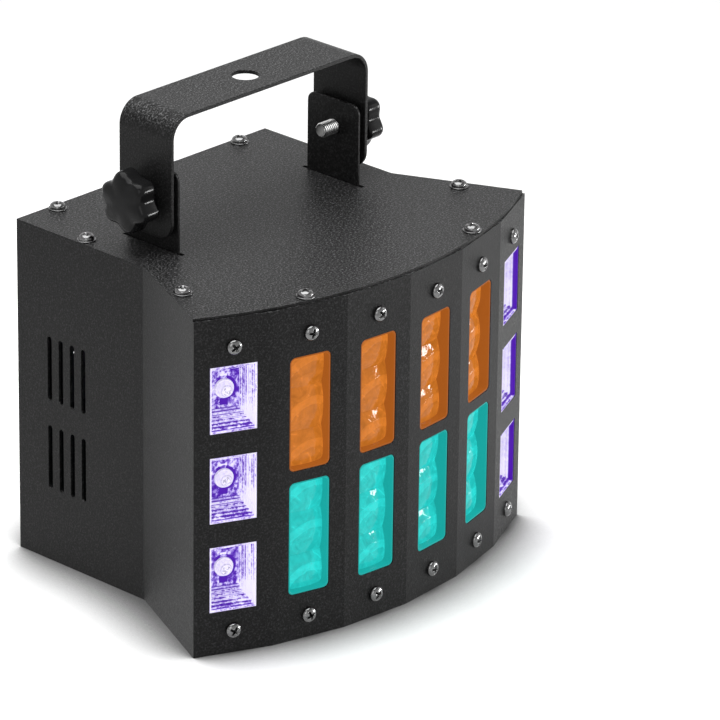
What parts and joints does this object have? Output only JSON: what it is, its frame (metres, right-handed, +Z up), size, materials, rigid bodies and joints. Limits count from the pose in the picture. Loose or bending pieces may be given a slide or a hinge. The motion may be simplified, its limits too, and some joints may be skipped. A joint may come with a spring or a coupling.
{
  "type": "stage effect light",
  "caption": "Sheet steel effect light with upright front facets, coloured lens windows, violet reflectors and a tilting yoke with star knobs.",
  "frame": {"origin": "middle of the underside of the casing, on the surface that the light stands on", "axes": "+Z up, the front facets look along -Y, +X to the right seen from the rear, along the yoke pivot"},
  "size_m": [0.2376, 0.2067, 0.252],
  "materials": {
    "powder_coat": "black fine-textured powder coat on sheet steel",
    "black_nylon": "black nylon, moulded",
    "zinc_thread": "zinc-plated steel thread",
    "knob_plastic": "black glossy moulded plastic",
    "bright_nickel": "bright nickel-plated steel",
    "zinc_sheet": "zinc-plated sheet steel",
    "bush_brass": "plain turned brass",
    "ground_steel": "ground steel rod",
    "folded_aluminium": "folded aluminium, mill finish",
    "white_board": "white solder mask on an aluminium-cored board",
    "turquoise_lamp": "clear domed lamp, blue-green",
    "amber_lamp": "clear domed lamp, amber",
    "violet_lamp": "clear domed lamp, violet-white",
    "violet_reflector": "stepped plated plastic lit violet",
    "gear_nylon": "natural nylon, moulded",
    "motor_steel": "plated steel can",
    "fan_plastic": "black glass-filled plastic",
    "green_board": "green circuit board",
    "display_red": "dark red display block",
    "eye_red": "dark red clear plastic",
    "inlet_plastic": "black moulded plastic",
    "amber_lens": "clear orange moulded lens strip",
    "turquoise_lens": "clear turquoise moulded lens strip",
    "button_plastic": "black moulded plastic"
  },
  "bodies": {
    "casing": {"amber_lens_1": "amber_lens", "amber_lens_2": "amber_lens", "amber_lens_3": "amber_lens", "amber_lens_4": "amber_lens", "base_plate": "powder_coat", "board_posts": "bush_brass", "control_board": "green_board", "digit_display": "display_red", "fan_frame": "fan_plastic", "front_panel": "powder_coat", "front_screws": "bright_nickel", "left_ear": "powder_coat", "left_friction_washer": "black_nylon", "left_side_wall": "powder_coat", "left_uv_board": "white_board", "left_uv_lamps": "violet_lamp", "left_uv_reflector": "violet_reflector", "lens_holders": "zinc_sheet", "lid": "powder_coat", "lid_screws": "bright_nickel", "lid_washers": "bright_nickel", "mains_inlet": "inlet_plastic", "power_board": "green_board", "rear_panel": "powder_coat", "rear_screws": "bright_nickel", "remote_eye": "eye_red", "right_ear": "powder_coat", "right_friction_washer": "black_nylon", "right_side_wall": "powder_coat", "right_uv_board": "white_board", "right_uv_lamps": "violet_lamp", "right_uv_reflector": "violet_reflector", "safety_eye": "powder_coat", "swing_motor": "motor_steel", "turquoise_lens_1": "turquoise_lens", "turquoise_lens_2": "turquoise_lens", "turquoise_lens_3": "turquoise_lens", "turquoise_lens_4": "turquoise_lens", "turret_bushes": "bush_brass", "turret_frame": "zinc_sheet"},
    "yoke": {"yoke": "powder_coat"},
    "left_knob": {"left_knob": "knob_plastic", "left_stud": "zinc_thread"},
    "right_knob": {"right_knob": "knob_plastic", "right_stud": "zinc_thread"},
    "turret": {"turret_shaft": "ground_steel", "led_carrier": "folded_aluminium", "turquoise_led_boards": "white_board", "amber_led_boards": "white_board", "turquoise_leds": "turquoise_lamp", "amber_leds": "amber_lamp", "sector_gear": "gear_nylon"},
    "pinion": {"motor_pinion": "bush_brass"},
    "fan_rotor": {"fan_rotor": "fan_plastic"},
    "fuse_drawer": {"fuse_drawer": "inlet_plastic"},
    "menu_button_1": {"menu_button_1": "button_plastic"},
    "menu_button_2": {"menu_button_2": "button_plastic"},
    "menu_button_3": {"menu_button_3": "button_plastic"},
    "menu_button_4": {"menu_button_4": "button_plastic"}
  },
  "joints": [
    {"name": "yoke_tilt", "type": "hinge", "parent": "casing", "child": "yoke", "pos_m": [0, 0.0208, 0.2075], "axis": [1, 0, 0], "range_deg": [-90, 90]},
    {"name": "left_knob_turn", "type": "hinge", "parent": "casing", "child": "left_knob", "pos_m": [0, 0.0208, 0.2075], "axis": [1, 0, 0], "range_deg": [-360, 360]},
    {"name": "right_knob_turn", "type": "hinge", "parent": "casing", "child": "right_knob", "pos_m": [0, 0.0208, 0.2075], "axis": [1, 0, 0], "range_deg": [-360, 360]},
    {"name": "turret_swing", "type": "hinge", "parent": "casing", "child": "turret", "pos_m": [0, -0.025, 0.1], "axis": [0, 0, 1], "range_deg": [-15, 15]},
    {"name": "pinion_turn", "type": "hinge", "parent": "casing", "child": "pinion", "pos_m": [0.024, -0.025, 0.03], "axis": [0, 0, 1], "range_deg": [-46, 46]},
    {"name": "fan_spin", "type": "hinge", "parent": "casing", "child": "fan_rotor", "pos_m": [-0.038, 0.085, 0.108], "axis": [0, 1, 0], "continuous": true},
    {"name": "fuse_drawer_slide", "type": "slide", "parent": "casing", "child": "fuse_drawer", "axis": [0, 1, 0], "range_m": [0, 0.012]},
    {"name": "menu_button_1_press", "type": "slide", "parent": "casing", "child": "menu_button_1", "axis": [0, -1, 0], "range_m": [0, 0.0008], "stiffness_N_per_m": 400},
    {"name": "menu_button_2_press", "type": "slide", "parent": "casing", "child": "menu_button_2", "axis": [0, -1, 0], "range_m": [0, 0.0008], "stiffness_N_per_m": 400},
    {"name": "menu_button_3_press", "type": "slide", "parent": "casing", "child": "menu_button_3", "axis": [0, -1, 0], "range_m": [0, 0.0008], "stiffness_N_per_m": 400},
    {"name": "menu_button_4_press", "type": "slide", "parent": "casing", "child": "menu_button_4", "axis": [0, -1, 0], "range_m": [0, 0.0008], "stiffness_N_per_m": 400}
  ],
  "couplings": [
    {"joint": "pinion_turn", "follows": "turret_swing", "ratio": -3}
  ]
}
